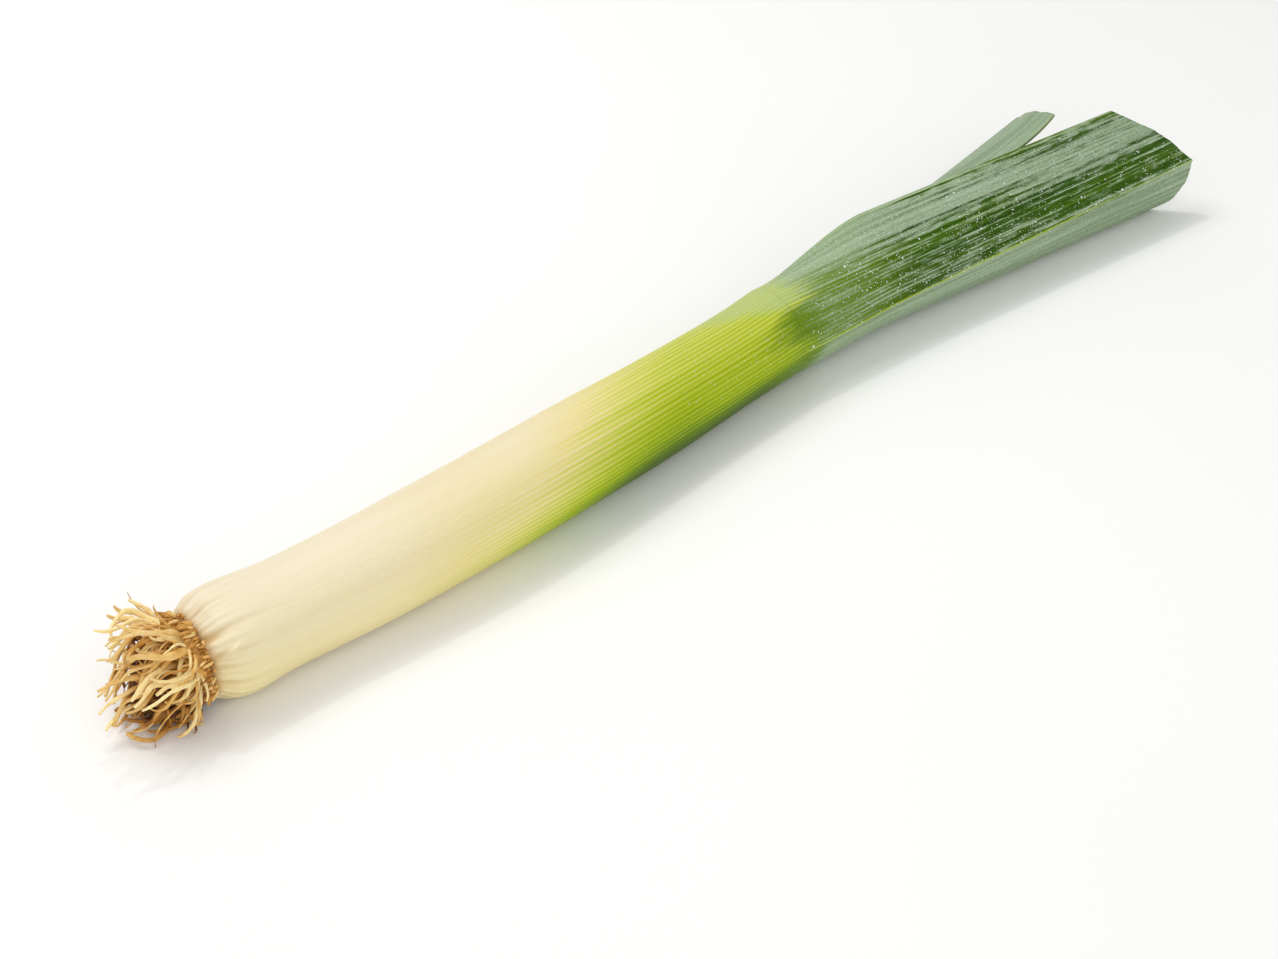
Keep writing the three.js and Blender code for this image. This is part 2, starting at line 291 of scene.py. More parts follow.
def seeded_random(seed):
    """Numbers from 0 to 1 that are the same on every run."""
    state = seed
    while True:
        state = (state * 1664525 + 1013904223) % 4294967296
        yield state / 4294967296


def through(points, x):
    """The value at x of a smooth curve through a few (x, value) points."""
    last = len(points) - 1
    if x <= points[0][0]:
        return points[0][1]
    if x >= points[last][0]:
        return points[last][1]
    i = 0
    while x > points[i + 1][0]:
        i += 1

    def slope(k):
        a = points[max(k - 1, 0)]
        b = points[min(k + 1, last)]
        return (b[1] - a[1]) / (b[0] - a[0])

    h = points[i + 1][0] - points[i][0]
    t = (x - points[i][0]) / h
    return (
        points[i][1] * (1 + 2 * t) * (1 - t) ** 2
        + slope(i) * h * t * (1 - t) ** 2
        + points[i + 1][1] * t * t * (3 - 2 * t)
        + slope(i + 1) * h * t * t * (t - 1)
    )


def shaft_radius(x):
    return np.vectorize(lambda value: through(RADIUS_PROFILE, value))(x)


def axis_height(x):
    return shaft_radius(np.maximum(x, BULB)) - FLAT_DEPTH


def axis_side(x):
    return BEND_REACH * np.maximum(0, (np.asarray(x) - BEND_START) / (NECK - BEND_START)) ** BEND_POWER


def round_points(x, radius, angle):
    """Points at a distance from the shaft's axis. Angle 0 is the near side and a quarter turn is up."""
    y = axis_side(x) - radius * np.cos(angle)
    z = np.maximum(0, axis_height(x) + radius * np.sin(angle))
    return np.stack(np.broadcast_arrays(x, y, z), -1)


# Meshes


def build_mesh(name, points, faces, values, flow=None, face_values=None):
    """A mesh object of plant-frame points, with values by point and by face for its material.

    flow is a function. It takes the point's number at each face corner, and gives the place along the
    leaf and the place across it in millimetres.
    """
    mesh = bpy.data.meshes.new(name)
    mesh.from_pydata(place(points).tolist(), [], faces)
    corner_points = np.empty(len(mesh.loops), dtype=np.int32)
    mesh.loops.foreach_get("vertex_index", corner_points)
    for key, value in values.items():
        layer = mesh.attributes.new(key, "FLOAT", "CORNER")
        layer.data.foreach_set("value", np.asarray(value, dtype=np.float32)[corner_points])
    for key, value in (face_values or {}).items():
        totals = np.empty(len(mesh.polygons), dtype=np.int32)
        mesh.polygons.foreach_get("loop_total", totals)
        layer = mesh.attributes.new(key, "FLOAT", "CORNER")
        layer.data.foreach_set("value", np.repeat(np.asarray(value, dtype=np.float32), totals))
    if flow is not None:
        along, across = flow(corner_points)
        places = np.stack((along, across, np.zeros(len(along))), -1)
        layer = mesh.attributes.new("flow", "FLOAT_VECTOR", "CORNER")
        layer.data.foreach_set("vector", places.astype(np.float32).ravel())
    mesh.shade_smooth()
    mesh.update()
    piece = bpy.data.objects.new(name, mesh)
    bpy.context.scene.collection.objects.link(piece)
    return piece


def ring_quads(first, rings, sides):
    """The corners of each face between one ring of points and the next."""
    for k in range(rings - 1):
        for j in range(sides):
            a = first + k * sides + j
            b = first + k * sides + (j + 1) % sides
            yield a, b, b + sides, a + sides


# The shaft


def around(angle):
    """An angle in degrees brought into the range from -180 to 180."""
    return (np.asarray(angle) + 180) % 360 - 180


def greenness(x, angle):
    """How green the shaft is, from 0, cream, to 1, full green, by place and angle in degrees.

    It yellows slowly along its length, and turns green earlier and deeper towards the underside. Its lower
    near side is painted warmer and yellower, as painted shade.
    """
    turned = around(angle)
    aged = smooth((x - 50) / 60)
    # Slow yellowing along the length, plus painted shade: a warmer, yellower lower near side.
    yellow = 0.04 * aged + np.clip(110 - np.abs(turned + 25), 0, 110) * (0.001 + 0.0012 * aged)
    depth = np.interp(turned, *GREEN_DEPTH, period=360)
    start = np.interp(turned, *GREEN_START, period=360)
    paler = 0.06 * bell((turned - 12) / 18) * smooth((x - 188) / 18)
    return np.clip(yellow + depth * smooth((x - start) / GREEN_REACH) - paler, 0, 1)


def leafness(x, angle):
    """0 on the sheath and 1 on the blade."""
    turned = around(angle)
    late_above = 18 * smooth((turned - 48) / 18)
    late_near = 12 * smooth((26 - np.abs(turned - 4)) / 24)
    start = LEAF_START + late_above + late_near
    return np.clip((x - start) / LEAF_REACH, 0, 1)


def neck_bloom(x, angle):
    """The smooth wax on the upper side, where the sheath opens into the blade."""
    turned = around(angle)
    start = BLOOM_START + 0.7 * np.clip(105 - turned, 0, 60)
    side = smooth((turned - 44) / 20) * smooth((178 - turned) / 50)
    return 1.05 * side * smooth((x - start) / BLOOM_REACH)


def base_folds(x, angle):
    """The skin's puckers where it is gathered into the root ring, from about -2 to 2."""
    folds = np.sin(11 * angle + 0.7) + 0.8 * np.sin(17 * angle + 2.1 + 0.05 * x)
    folds = folds + 0.5 * np.sin(29 * angle + 4.0) + 0.45 * np.sin(43 * angle + 1.0 + 0.2 * x)
    return folds * np.exp(-np.maximum(x, 0) / FOLD_REACH)


def shaft_relief(x, angle):
    """How far the shaft's skin stands proud of its plain round form."""
    relief = FOLD_DEPTH * base_folds(x, angle) * smooth((x + 2) / 3)
    # A groove round the base, a low swelling under its near side, and one small bump above that.
    relief = relief - 0.9 * bell((x - 1.5) / 2.2)
    relief = relief + 1.1 * bell((x - 12) / 9) * bell((angle + 0.9) / 0.75)
    bump = bell((x - 4.0) / 2.6) * bell((angle - 0.42 - 0.02 * x) / 0.045)
    relief = relief + BUMP_HEIGHT * bump
    # Slow unevenness along the whole shaft, and its ribs.
    relief = relief + 0.16 * np.sin(x / 19 + 2 * angle) + 0.1 * np.sin(x / 11 - 3 * angle + 1)
    rib = smooth((x - 95) / 90) * RIB_HEIGHT * np.cos(SHAFT_RIBS * angle)
    return (relief + rib) * smooth((NECK - x) / 14)


def keel_start(x):
    """How strongly the pale line along the keel shows, which starts a little before the blade."""
    return smooth((x - KEEL_LINE_START) / KEEL_LINE_REACH)


def shaft():
    """The skin of the shaft, a closed tube with finer rows at the base, where its puckers are."""
    stations = list(np.arange(SHAFT_START, SHAFT_FINE_END, SHAFT_FINE_STEP))
    stations += list(np.arange(SHAFT_FINE_END, NECK - 1, SHAFT_STEP))
    stations += [NECK - 0.8, NECK - 0.35, NECK]
    rows = len(stations)
    n = SHAFT_COLUMNS
    x = np.array(stations)[:, None]
    angle = (2 * np.pi * np.arange(n) / n - np.pi / 2)[None, :]
    turned = np.radians(around(np.degrees(angle)))
    # The skin's end is drawn in where no outermost blade continues it.
    uncovered = smooth((np.abs(turned) - 1.95) / 0.3)
    uncovered = uncovered * np.where(turned > 0, smooth((turned - 2.5) / 0.2), 1)
    rim = RIM_DEPTH * smooth(x - (NECK - 1)) * uncovered
    radius = shaft_radius(x) + shaft_relief(x, angle) - rim
    points = round_points(x, radius, angle).reshape(-1, 3)
    ends = [(SHAFT_START, 0.0, float(axis_height(0))), (NECK, BEND_REACH, float(axis_height(NECK)))]
    points = np.vstack((points, ends))

    faces = [(b, c, d, a) for a, b, c, d in ring_quads(0, rows, n)]
    # Where the tube closes, the first two corners of a face need the place across of a full turn.
    closing = np.arange(n - 1, len(faces), n)
    wrapped = np.concatenate((4 * closing, 4 * closing + 1))
    first_end = rows * n
    for j in range(n):
        k = (j + 1) % n
        faces.append((first_end, k, j))
        faces.append((first_end + 1, (rows - 1) * n + j, (rows - 1) * n + k))

    all_x = np.append(np.broadcast_to(x, (rows, n)).ravel(), (SHAFT_START, NECK))
    all_angles = np.append(np.broadcast_to(angle, (rows, n)).ravel(), (0, 0))
    degrees = np.degrees(all_angles)
    ends_mask = np.zeros(len(points))
    ends_mask[first_end:] = 1

    def flow(index):
        across = all_angles[index] * NECK_RADIUS
        across[wrapped] = 1.5 * np.pi * NECK_RADIUS
        return all_x[index], across

    from_keel = np.radians(around(degrees)) * NECK_RADIUS
    values = {
        "green": greenness(all_x, degrees),
        "leaf": leafness(all_x, degrees),
        "bloom": neck_bloom(all_x, degrees),
        "keel": bell(from_keel / KEEL_LINE) * keel_start(all_x),
        "inner": ends_mask,
        "base": np.exp(-np.maximum(all_x + 1.5, 0) / 2.0) - 0.22 * base_folds(all_x, all_angles),
        "age": np.zeros(len(points)),
    }
    piece = build_mesh("shaft_skin", points, faces, values, flow, {"cut": np.zeros(len(faces))})
    return finish_piece(piece, leaf_material("leek_skin"), "shaft", "shaft")


def finish_piece(piece, material, slot, *nodes):
    """Gives a piece its material and body, and hides the nodes that it replaces."""
    piece.data.materials.append(material)
    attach(piece, "root")
    if nodes:
        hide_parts(*nodes)
    return piece


# The blades


def fan_share(x):
    """How far the blades have fanned out at x: 0 at FAN_START, 1 at FAN_TIP, slightly below 0 before."""
    t = (x - FAN_START) / (FAN_TIP - FAN_START)
    return np.where(t < 0, FAN_LEAD * (np.exp(np.minimum(t, 0) / FAN_LEAD) - 1), t)


def folded_section(blade, x, u):
    """y and z of the folded blade at x, at u from -1, its bottom edge, to 1, its top edge."""
    t = fan_share(x)

    def blend(key, axis, opened=t):
        return mix(blade["mid"][key][axis], blade["tip"][key][axis], opened)

    bottom = u < 0
    late = np.where(t > 0, np.maximum(t, 0) ** blade["lateness"], t)
    keel_y = blend("keel", 0)
    keel_z = blend("keel", 1)
    dy = np.where(bottom, blend("bottom", 0), blend("top", 0, late)) - keel_y
    dz = np.where(bottom, blend("bottom", 1), blend("top", 1, late)) - keel_z
    bulge = np.maximum(0, np.where(bottom, blend("bulge", 1), blend("bulge", 0)))
    ripple = blade["wave"] * np.sin(2 * np.pi * x / WAVE_LENGTH + blade["layer"] + u) * u * u
    share = np.abs(u)
    away = np.where(bottom, 1, -1) * blade["side"]
    lift = 4 * (bulge + ripple) * share * (1 - share) * away
    long = np.hypot(dy, dz)
    return keel_y + dy * share - lift * dz / long, keel_z + dz * share + lift * dy / long


def blade_points(blade, x, u):
    """y and z of the blade's outer face: a tube round the shaft's axis that opens into the folded V."""
    radius = through(RADIUS_PROFILE, NECK) - LAYER_STEP * blade["layer"]
    turn = np.radians(np.where(u < 0, blade["span"]["bottom"], blade["span"]["top"])) * u
    angle = turn if blade["side"] == NEAR else np.pi - turn
    tube = round_points(np.full_like(x, NECK), radius, angle)
    y, z = folded_section(blade, x, u)
    opened = smooth((x - NECK) / (FAN_START - NECK))
    return mix(tube[..., 1], y, opened), np.maximum(0, mix(tube[..., 2], z, opened))


def cut_off(blade, u):
    """Where the blade is cut, with the small unevenness of a knife cut through ribbed leaf."""
    end = np.where(u < 0, blade["end"]["bottom"], blade["end"]["top"])
    uneven = 0.12 * np.sin(23 * u + blade["layer"]) + 0.08 * np.sin(61 * u)
    slant = np.where(u < 0, blade["end"]["slant"], 1)
    rounded = 1 + 0.9 * np.abs(u) * (1 - np.abs(u))
    cut = mix(blade["end"]["keel"], end, np.abs(u) ** (slant * rounded))
    return cut + uneven * np.minimum(1, 6 * np.abs(u))


def blade_relief(blade, x, u, across):
    """Shallow lengthwise folds and veins, which die out at the neck."""
    grown = smooth((x - NECK - 4) / 45)
    folds = 0.17 * np.sin(across / 2.9 + 0.02 * x + blade["layer"]) + 0.11 * np.sin(across / 1.35 + 1.7)
    folds = folds + 0.16 * np.sin(x / 17 + 3 * u) * np.abs(u)
    return folds * grown * smooth(np.abs(u) / 0.12) * smooth((1 - np.abs(u)) / 0.1)


def blade_grids(blade):
    """The blade's outer and inner faces as grids of points, with u and the distance across."""
    rows, columns = blade["grid"]
    t = np.linspace(-1, 1, columns + 1)
    u_row = np.sign(t) * np.abs(t) ** KEEL_CROWDING * -blade["side"]
    share = np.linspace(0, 1, rows + 1)
    share = share * (1 - 0.35 * share * (1 - share))
    u = np.broadcast_to(u_row, (rows + 1, columns + 1))
    gap = 0.0 if blade["layer"] == 0 else BLADE_GAP
    x = mix(NECK + gap, cut_off(blade, u), share[:, None])
    y, z = blade_points(blade, x, u)
    step = np.hypot(np.diff(y, axis=1), np.diff(z, axis=1))
    across = np.concatenate((np.zeros((rows + 1, 1)), np.cumsum(step, axis=1)), axis=1)
    keel = columns // 2
    across = (across - across[:, keel : keel + 1]) * -blade["side"]
    order = np.argsort(u_row)
    ahead = np.clip(u_row + NORMAL_REACH, -1, 1)
    behind = np.clip(u_row - NORMAL_REACH, -1, 1)

    def change(row):
        return np.interp(ahead, u_row[order], row[order]) - np.interp(behind, u_row[order], row[order])

    inward = np.empty((rows + 1, columns + 1, 2))
    for i in range(rows + 1):
        dy = change(y[i])
        dz = change(z[i])
        long = np.hypot(dy, dz)
        inward[i, :, 0] = dz / long * -blade["side"]
        inward[i, :, 1] = -dy / long * -blade["side"]
    relief = blade_relief(blade, x, u, across)
    midrib = MIDRIB_HEIGHT * bell(across / MIDRIB_WIDTH) * smooth((x - NECK - 8) / 30)
    thickness = mix(KEEL_THICKNESS, EDGE_THICKNESS, np.abs(u))

    def moved(depth):
        points = np.stack((x, y + inward[..., 0] * depth, z + inward[..., 1] * depth), -1)
        points[..., 2] = np.maximum(0, points[..., 2])
        return points

    return moved(-relief - midrib), moved(thickness - relief), u, across


def sheet_faces(rows, columns):
    """Faces of a closed sheet between two grids, and for each one how much it shows as cut leaf.

    That is 1 on the cut end, 0.5 along the long edges and 0 elsewhere.
    """
    wide = columns + 1
    size = (rows + 1) * wide
    faces = []
    rim = []

    def add(face, on_rim):
        faces.append(face)
        rim.append(on_rim)

    for i in range(rows):
        for j in range(columns):
            a = i * wide + j
            add((a, a + wide, a + wide + 1, a + 1), 0)
            add((size + a, size + a + 1, size + a + wide + 1, size + a + wide), 0)
        left = i * wide
        right = left + columns
        add((left, size + left, size + left + wide, left + wide), 0.5)
        add((right, right + wide, size + right + wide, size + right), 0.5)
    last = rows * wide
    for j in range(columns):
        add((j, j + 1, size + j + 1, size + j), 0)
        add((last + j, size + last + j, size + last + j + 1, last + j + 1), 1)
    return faces, rim


def outer_bloom(x, u):
    """Wax on the outermost blade: full below the keel, thin beside it, and thick towards the top edge."""
    at_neck = np.interp(u, *NECK_WAX)
    middle = np.interp(u, *MIDDLE_WAX)
    at_tip = np.interp(u, *TIP_WAX)
    above = mix(at_neck, mix(middle, at_tip, smooth((x - 330) / 90)), smooth((x - 285) / 50))
    below = mix(0.72, 1.15, smooth(-u / 0.15)) * mix(0.25, 1.0, smooth((x - NECK + 6) / 24))
    return np.where(u < 0, below, above)


def blade(spec, material):
    """One blade as a closed sheet. The outermost one takes up the colours of the shaft at the neck."""
    outer, inner, u, across = blade_grids(spec)
    rows, columns = spec["grid"]
    faces, rim = sheet_faces(rows, columns)
    points = np.concatenate((outer.reshape(-1, 3), inner.reshape(-1, 3)))
    x = outer[..., 0]
    angle = np.where(u < 0, spec["span"]["bottom"], spec["span"]["top"]) * u
    if spec["layer"] == 0:
        green = greenness(x, angle)
        leaf = leafness(x, angle)
        bloom = mix(neck_bloom(x, angle), outer_bloom(x, u), smooth((x - NECK + 8) / 26))
    else:
        green = np.full_like(x, 0.7)
        leaf = smooth((x - NECK + 10) / 50)
        top_bloom, bottom_bloom = spec["bloom"]
        bloom = np.where(u < 0, bottom_bloom, top_bloom) * smooth((x - NECK + 14) / 34)
    margin = smooth((np.abs(u) - 0.93) / 0.05) * (u > 0)
    keel_line = bell(across / KEEL_LINE) * keel_start(x)
    keel_line = keel_line * mix(1.0, 0.45, smooth((x - 370) / 50)) + 0.1 * margin
    age = smooth((x - NECK) / 95)
    zeros = np.zeros(u.size)

    def both(on_outer, on_inner):
        return np.concatenate((np.ravel(on_outer), np.ravel(on_inner)))

    values = {
        "green": both(green, green),
        "leaf": both(leaf, leaf),
        "bloom": both(bloom, 0.3 * bloom),
        "keel": both(keel_line, zeros),
        "inner": both(zeros, zeros + 1),
        "base": both(zeros, zeros),
        "age": both(age, age),
    }
    along = both(x, x)
    veins = np.radians(angle) * NECK_RADIUS
    sideways = both(veins, veins + INNER_FACE_SHIFT)

    def flow(index):
        return along[index], sideways[index]

    piece = build_mesh(spec["name"] + "_blade", points, faces, values, flow, {"cut": rim})
    piece.data.set_sharp_from_angle(angle=SHARP_ANGLE)
    return finish_piece(piece, material, spec["slot"], spec["name"])


# The roots


def round_plate(x, radius, angle):
    """A point at a distance from the plate's axis, with angles as round the shaft."""
    return np.array((x, -radius * math.cos(angle), float(axis_height(0)) + radius * math.sin(angle)))


def root_path(index, count, random, slender=1.0, wild=1.0):
    """Points along one root, as in the solid: it leaves the plate outwards, droops, curls and lies down."""
    share = (index + 0.5) / count
    turn = index * GOLDEN_ANGLE + 0.5 * (next(random) - 0.5)
    reach = PLATE_RADIUS * ROOT_ZONE * math.sqrt(share)
    splay = mix(*ROOT_SPLAY, share) + 0.6 * (next(random) - 0.5)
    length = mix(*ROOT_LENGTH, next(random))
    radius = mix(*ROOT_RADIUS, next(random)) * slender
    droop = mix(*ROOT_DROOP, next(random)) * wild
    curl = mix(*ROOT_CURL, next(random)) * wild
    phase = 2 * math.pi * next(random)
    twist = mix(*ROOT_TWIST, next(random))
    position = round_plate(PLATE_START - PLATE_DEPTH * 0.5, reach, turn)
    heading = np.array((
        -math.cos(splay),
        ROOT_LEAN - math.sin(splay) * math.cos(turn),
        math.sin(splay) * math.sin(turn) - ROOT_SAG,
    ))
    heading /= np.linalg.norm(heading)
    points = [position.copy()]
    step = length / ROOT_STEPS
    for k in range(ROOT_STEPS):
        swing = phase + twist * k * step
        heading[0] -= ROOT_BACK * step
        heading[1] += (curl * math.cos(swing) - ROOT_GATHER * position[1]) * step
        heading[2] += (curl * math.sin(swing) - droop) * step
        heading /= np.linalg.norm(heading)
        position = position + heading * step
        position[0] = min(position[0], ROOT_FRONT)
        lowest = radius + ROOT_CLEARANCE
        if position[2] < lowest:
            position[2] = lowest
            heading[2] = max(0.0, heading[2])
        points.append(position.copy())
    return np.array(points), radius


def hooked(path, radius, random, strength):
    """The path with its outer part bent over more and more, as dry root ends are."""
    steps = np.diff(path, axis=0)
    start = int(len(steps) * mix(0.3, 0.7, next(random)))
    axis = np.array((next(random) - 0.5, next(random) - 0.5, next(random) - 0.5))
    axis /= np.linalg.norm(axis)
    bend = strength * mix(-1.0, 1.0, next(random))
    result = [path[0]]
    turned = 0.0
    for k, step in enumerate(steps):
        if k > start:
            turned += bend * (k - start) / (len(steps) - start)
        across = np.cross(axis, step)
        along = axis * (axis @ step) * (1 - math.cos(turned))
        moved = result[-1] + step * math.cos(turned) + across * math.sin(turned) + along
        moved[0] = min(moved[0], ROOT_FRONT + 0.8)
        moved[1] = max(moved[1], -WIDEST - 4)
        moved[2] = max(moved[2], radius)
        result.append(moved)
    return np.array(result)


def add_tube(store, path, radii, sides, tone):
    """Adds a closed tube along a path to the lists in store."""
    first = len(store["points"])
    count = len(path)
    for k in range(count):
        ahead = path[min(k + 1, count - 1)] - path[max(k - 1, 0)]
        sideways = np.cross((0, 0, 1), ahead)
        if np.linalg.norm(sideways) < 0.2 * np.linalg.norm(ahead):
            sideways = np.cross((0, 1, 0), ahead)
        sideways = sideways / np.linalg.norm(sideways)
        up = np.cross(ahead, sideways)
        up = up / np.linalg.norm(up)
        for j in range(sides):
            angle = 2 * math.pi * j / sides
            corner = path[k] + radii[k] * (sideways * math.cos(angle) + up * math.sin(angle))
            corner[2] = max(0.05, corner[2])
            store["points"].append(corner)
            store["tone"].append(tone)
    store["faces"].extend(ring_quads(first, count, sides))
    store["faces"].append(tuple(first + j for j in reversed(range(sides))))
    store["faces"].append(tuple(first + (count - 1) * sides + j for j in range(sides)))


def smoothed(path, pieces):
    """A path with more points, on a smooth curve through the given ones."""
    result = []
    last = len(path) - 1
    for i in range(last):
        p0, p1, p2, p3 = path[max(i - 1, 0)], path[i], path[i + 1], path[min(i + 2, last)]
        linear = p2 - p0
        square = 2 * p0 - 5 * p1 + 4 * p2 - p3
        cubic = 3 * p1 - p0 - 3 * p2 + p3
        for k in range(pieces):
            t = k / pieces
            result.append(0.5 * (2 * p1 + linear * t + square * t * t + cubic * t ** 3))
    result.append(path[last])
    return np.array(result)


def knobbly(radius, count, taper, random):
    """Radii along a root that tapers and swells a little here and there."""
    phase = 6.28 * next(random)
    k = np.arange(count) / (count - 1)
    swell = 1 + 0.12 * np.sin(13 * k + phase) + 0.08 * np.sin(31 * k + 2 * phase)
    return radius * mix(1.0, taper, k ** 2) * swell


def plate(store, random):
    """The rough root plate that the roots grow from."""
    sides = PLATE_SIDES
    first = len(store["points"])
    for depth, share in PLATE_RINGS:
        for j in range(sides):
            angle = 2 * math.pi * j / sides
            rough = 1 + 0.04 * math.sin(7 * angle) + 0.04 * (next(random) - 0.5)
            radius = PLATE_RADIUS * share * rough
            store["points"].append(round_plate(PLATE_START - PLATE_DEPTH * depth, radius, angle))
            store["tone"].append(mix(0.15, 0.5, next(random)))
    quads = ring_quads(first, len(PLATE_RINGS), sides)
    store["faces"].extend((a, d, c, b) for a, b, c, d in quads)
    store["faces"].append(tuple(first + j for j in range(sides)))
    last = first + (len(PLATE_RINGS) - 1) * sides
    store["faces"].append(tuple(last + j for j in reversed(range(sides))))


def crown(store, random):
    """The ring of brown nubs round the plate, where roots were or are about to grow."""
    for i in range(NUB_COUNT):
        angle = 2 * math.pi * (i * 7 + next(random)) / NUB_COUNT
        radius = mix(*NUB_RING, next(random))
        out = np.array((-mix(0.8, 2.2, next(random)), -math.cos(angle), math.sin(angle)))
        out /= np.linalg.norm(out)
        start = round_plate(-1.2 - 2.4 * next(random), radius, angle)
        start[2] = max(start[2], 0.9)
        long = mix(*NUB_LENGTH, next(random) ** 2)
        bend = np.array((-0.4, next(random) - 0.5, next(random) - 0.6))
        path = np.array([start + out * long * s + bend * long * s * s for s in (0, 0.35, 0.7, 1)])
        thick = mix(*NUB_RADIUS, next(random))
        tone = mix(0.0, 0.6, next(random))
        add_tube(store, path, thick * np.array((0.8, 1.1, 1.0, 0.45)), NUB_SIDES, tone)


def roots():
    """The tuft: the solid's own roots with hooked ends, finer ones among them, the plate and its nubs."""
    store = {"points": [], "faces": [], "tone": []}
    random = seeded_random(ROOT_SEED)
    look = seeded_random(FINE_ROOT_SEED)
    for i in range(ROOT_COUNT):
        path, radius = root_path(i, ROOT_COUNT, random)
        radius *= mix(0.75, 1.08, next(look))
        path = smoothed(hooked(path, radius, look, 0.4), 2)
        radii = knobbly(radius, len(path), 0.42, look)
        add_tube(store, path, radii, ROOT_SIDES, mix(0.45, 1.05, next(look)))
    for i in range(FINE_ROOT_COUNT):
        slender = mix(0.3, 0.78, next(look))
        path, radius = root_path(i + 0.37, FINE_ROOT_COUNT, look, slender, mix(1.2, 2.4, next(look)))
        path = path[: 7 + int(8 * next(look))]
        path = smoothed(hooked(path, radius, look, 0.6), 2)
        radii = knobbly(radius, len(path), 0.35, look)
        add_tube(store, path, radii, FINE_ROOT_SIDES, mix(0.2, 1.0, next(look)))
    plate(store, look)
    crown(store, look)
    points = np.array(store["points"])
    # Painted shade: roots are darker deep inside the tuft and towards its bottom, and a little paler on its
    # outer parts.
    painted_light_share = smooth((np.linalg.norm(points - TUFT_CORE, axis=1) - 7) / 13)
    painted_light_share = painted_light_share * mix(0.6, 1.0, smooth((points[:, 2] - 3) / 9))
    values = {"tone": store["tone"], "painted_light_share": painted_light_share}
    piece = build_mesh("root_tuft", points, store["faces"], values)
    return finish_piece(piece, root_material(), "roots", "roots")


# Water drops


def drop_shape(rings, sides):
    """Points and faces of a coarse ball round the origin."""
    points = [(0, 0, 1)]
    for i in range(1, rings):
        polar = math.pi * i / rings
        for j in range(sides):
            turn = 2 * math.pi * j / sides
            out = math.sin(polar)
            points.append((out * math.cos(turn), out * math.sin(turn), math.cos(polar)))
    points.append((0, 0, -1))
    faces = [(0, 1 + j, 1 + (j + 1) % sides) for j in range(sides)]
    faces += [(a, d, c, b) for a, b, c, d in ring_quads(1, rings - 1, sides)]
    last = len(points) - 1
    faces += [(last, last - sides + (j + 1) % sides, last - sides + j) for j in range(sides)]
    return np.array(points), faces


def drops():
    """Drops strewn over the upper face of the outermost blade, fewer by the neck, and over the shaft."""
    random = np.random.default_rng(DROP_SEED)
    outer = blade_grids(BLADES[0])[0]
    rows, columns = outer.shape[:2]
    unit, unit_faces = drop_shape(DROP_RINGS, DROP_SIDES)
    points = []
    faces = []

    def add(position, normal, size):
        flat = np.cross(normal, (1.0, 0.0, 0.0))
        flat /= np.linalg.norm(flat)
        other = np.cross(normal, flat)
        shaped = unit * np.array((size, size, DROP_FLATNESS * size))
        first = len(points) * len(unit)
        points.append(position + shaped @ np.array((flat, other, normal)) + normal * 0.25 * size)
        faces.extend(tuple(first + k for k in face) for face in unit_faces)

    for _ in range(BLADE_DROPS):
        i = random.integers(1, rows - 2)
        j = int(random.uniform(0.5, 0.97) * columns)
        if random.random() > 0.25 + (outer[i, j, 0] - NECK) / 40:
            continue
        along = outer[i + 1, j] - outer[i - 1, j]
        sideways = outer[i, j + 1] - outer[i, j - 1]
        normal = np.cross(along, sideways)
        normal /= np.linalg.norm(normal)
        spot = outer[i, j] + random.uniform(-0.5, 0.5) * along + random.uniform(-0.5, 0.5) * sideways
        size = mix(*BLADE_DROP_SIZE, random.random() ** 2) * (2.0 if random.random() > 0.97 else 1)
        add(spot, normal, size)
    for low, high, count in SHAFT_DROPS:
        for _ in range(count):
            x = random.uniform(low, high)
            angle = random.uniform(0.1, 2.3)
            radius = float(shaft_radius(x)) + float(shaft_relief(x, angle))
            normal = np.array((0.0, -math.cos(angle), math.sin(angle)))
            size = mix(*SHAFT_DROP_SIZE, random.random() ** 2)
            add(round_points(np.array(x), radius, angle), normal, size)
    piece = build_mesh("water_drops", np.concatenate(points), faces, {})
    return finish_piece(piece, water_material(), "outer_leaf")


# Materials

GREY = {percent: (percent / 100, percent / 100, percent / 100, 1.0) for percent in (0, 12, 18, 24)}
SHEATH_COLOURS = (
    (0.0, srgb(239, 227, 200)),
    (0.1, srgb(236, 222, 172)),
    (0.2, srgb(230, 216, 142)),
    (0.3, srgb(212, 210, 108)),
    (0.4, srgb(194, 202, 78)),
    (0.5, srgb(174, 190, 40)),
    (0.6, srgb(156, 178, 10)),
    (0.75, srgb(126, 152, 0)),
    (0.9, srgb(90, 118, 4)),
    (1.0, srgb(72, 98, 8)),
)
LEAF_COLOURS = (
    (0.1, srgb(30, 58, 0)),
    (0.4, srgb(52, 88, 2)),
    (0.65, srgb(84, 118, 18)),
    (0.95, srgb(126, 154, 58)),
)
ROOT_COLOURS = (
    (0.0, srgb(88, 44, 4)),
    (0.25, srgb(176, 116, 36)),
    (0.55, srgb(226, 176, 90)),
    (1.0, srgb(255, 232, 168)),
)
WARM_CREAM = srgb(230, 210, 154)
DIRT = srgb(204, 162, 96)
YOUNG_LEAF = srgb(112, 142, 26)
THIN_WAX = srgb(146, 167, 134)
THICK_WAX = srgb(176, 194, 168)
SHEATH_WAX = srgb(184, 201, 128)
# Painted highlight: the pale colour of the glints of fine dewdrops on the leaf.
PAINTED_DEW_GLINTS = srgb(232, 240, 226)
# Laid over the skin in turn: the attribute that says where, how strongly, and in which colour.
OVERLAYS = (
    ("inner", 0.4, srgb(140, 172, 88)),
    ("keel", 0.8, srgb(176, 196, 66)),
    ("cut", 0.8, srgb(160, 186, 92)),
)
PALE_FLOOR = ((0.3, srgb(247, 247, 246)), (0.7, srgb(250, 250, 249)))


